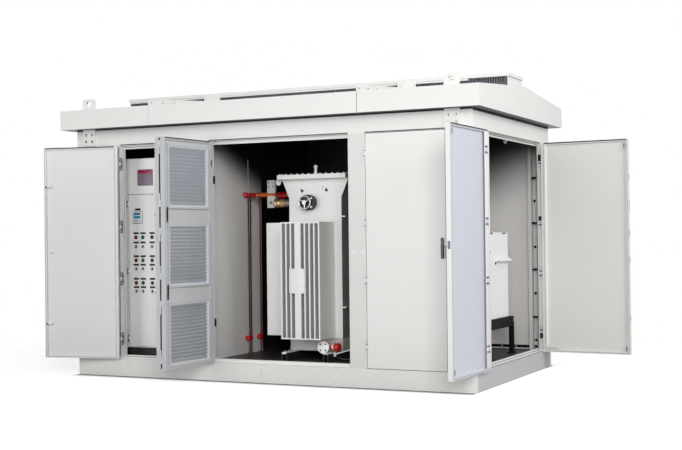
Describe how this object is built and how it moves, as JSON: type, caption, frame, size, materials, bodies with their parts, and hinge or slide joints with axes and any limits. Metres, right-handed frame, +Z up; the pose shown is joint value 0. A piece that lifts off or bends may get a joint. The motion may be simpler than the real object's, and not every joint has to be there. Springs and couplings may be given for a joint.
{
  "type": "compact substation",
  "caption": "Walk-in compact substation: steel kiosk on a skid base with swinging and folding doors, switchboard, transformer and ridge-vented roof.",
  "frame": {"origin": "middle of the underside of the skid base, on its middle cross beam", "axes": "+Z up, +X along the front from the low-voltage end to the high-voltage end, -Y out of the front doors"},
  "size_m": [5.602, 3.309, 2.999],
  "materials": {
    "kiosk_paint": "semi-gloss powder coat, light grey",
    "room_paint": "satin grey paint inside the rooms",
    "floor_black": "dark ribbed floor plate",
    "hinge_steel": "zinc plated",
    "vent_dark": "dark grey grille",
    "louvre_paint": "satin grey louvres",
    "lock_black": "black lever",
    "lock_steel": "plated lever",
    "board_paint": "textured powder coat",
    "plinth_black": "matt black",
    "lamp_red": "gloss lens",
    "lamp_green": "gloss lens",
    "tank_paint": "gloss enamel, light grey",
    "rail_steel": "grey channel",
    "tap_black": "black housing",
    "wheel_silver": "polished casting",
    "valve_red": "red enamel",
    "riser_red": "red-brown sleeve",
    "knob_red": "red knob",
    "copper": "copper with a lacquered surface",
    "block_white": "moulded white",
    "cabinet_white": "white powder coat",
    "stand_black": "matt black steel"
  },
  "bodies": {
    "kiosk": {"base_side_beams": "kiosk_paint", "base_end_beams": "kiosk_paint", "base_cross_beams": "kiosk_paint", "floor_plate": "floor_black", "front_left_panel": "kiosk_paint", "front_posts": "kiosk_paint", "front_corner_post": "kiosk_paint", "rear_corner_post": "kiosk_paint", "front_header": "kiosk_paint", "end_header": "kiosk_paint", "rear_wall": "kiosk_paint", "left_end_wall": "kiosk_paint", "lv_partition": "room_paint", "door_sills": "kiosk_paint", "roof_left": "kiosk_paint", "roof_middle": "kiosk_paint", "roof_right": "kiosk_paint", "vent_grilles": "vent_dark", "vent_cap": "kiosk_paint", "lifting_lugs": "kiosk_paint", "door_hinges": "hinge_steel", "tx_folding_leaves": "kiosk_paint", "tx_louvres": "louvre_paint", "tx_fold_hinges": "hinge_steel", "board_carcass": "board_paint", "board_plinth": "plinth_black", "board_panel": "board_paint", "tx_tank": "tank_paint", "tx_cover": "tank_paint", "tx_fins": "tank_paint", "tx_rails": "rail_steel", "tap_changer": "tap_black", "drain_valve": "valve_red", "riser_pipes": "riser_red", "riser_knobs": "knob_red", "copper_links": "copper", "terminal_block": "block_white", "hv_cabinet": "cabinet_white", "hv_stand": "stand_black", "corner_stiffener": "room_paint"},
    "lv_door": {"lv_door": "kiosk_paint"},
    "board_door": {"board_door": "board_paint", "board_red_devices": "lamp_red", "board_green_devices": "lamp_green"},
    "hv_front_door": {"hv_front_door": "kiosk_paint", "hv_door_lock": "lock_black"},
    "end_front_door": {"end_front_door": "kiosk_paint", "end_front_lock": "lock_steel"},
    "end_rear_door": {"end_rear_door": "kiosk_paint"},
    "tap_wheel": {"tap_wheel": "wheel_silver"}
  },
  "joints": [
    {"name": "lv_door_hinge", "type": "hinge", "parent": "kiosk", "child": "lv_door", "pos_m": [-1.65, -1.204, 1.28], "axis": [0, 0, -1], "range_deg": [-168, 6]},
    {"name": "hv_front_door_hinge", "type": "hinge", "parent": "kiosk", "child": "hv_front_door", "pos_m": [1.135, -1.204, 1.28], "axis": [0, 0, -1], "range_deg": [0, 165]},
    {"name": "end_front_door_hinge", "type": "hinge", "parent": "kiosk", "child": "end_front_door", "pos_m": [2.209, -0.935, 1.28], "axis": [0, 0, -1], "range_deg": [-181.5, 0]},
    {"name": "end_rear_door_hinge", "type": "hinge", "parent": "kiosk", "child": "end_rear_door", "pos_m": [2.209, 0.935, 1.28], "axis": [0, 0, 1], "range_deg": [-86, 90]},
    {"name": "board_door_hinge", "type": "hinge", "parent": "kiosk", "child": "board_door", "pos_m": [-1.776, -0.902, 1.08], "axis": [0, 0, -1], "range_deg": [0, 45]},
    {"name": "tap_wheel_turn", "type": "hinge", "parent": "kiosk", "child": "tap_wheel", "pos_m": [0.242, -0.717, 1.761], "axis": [0, 1, 0], "range_deg": [-120, 120]}
  ]
}
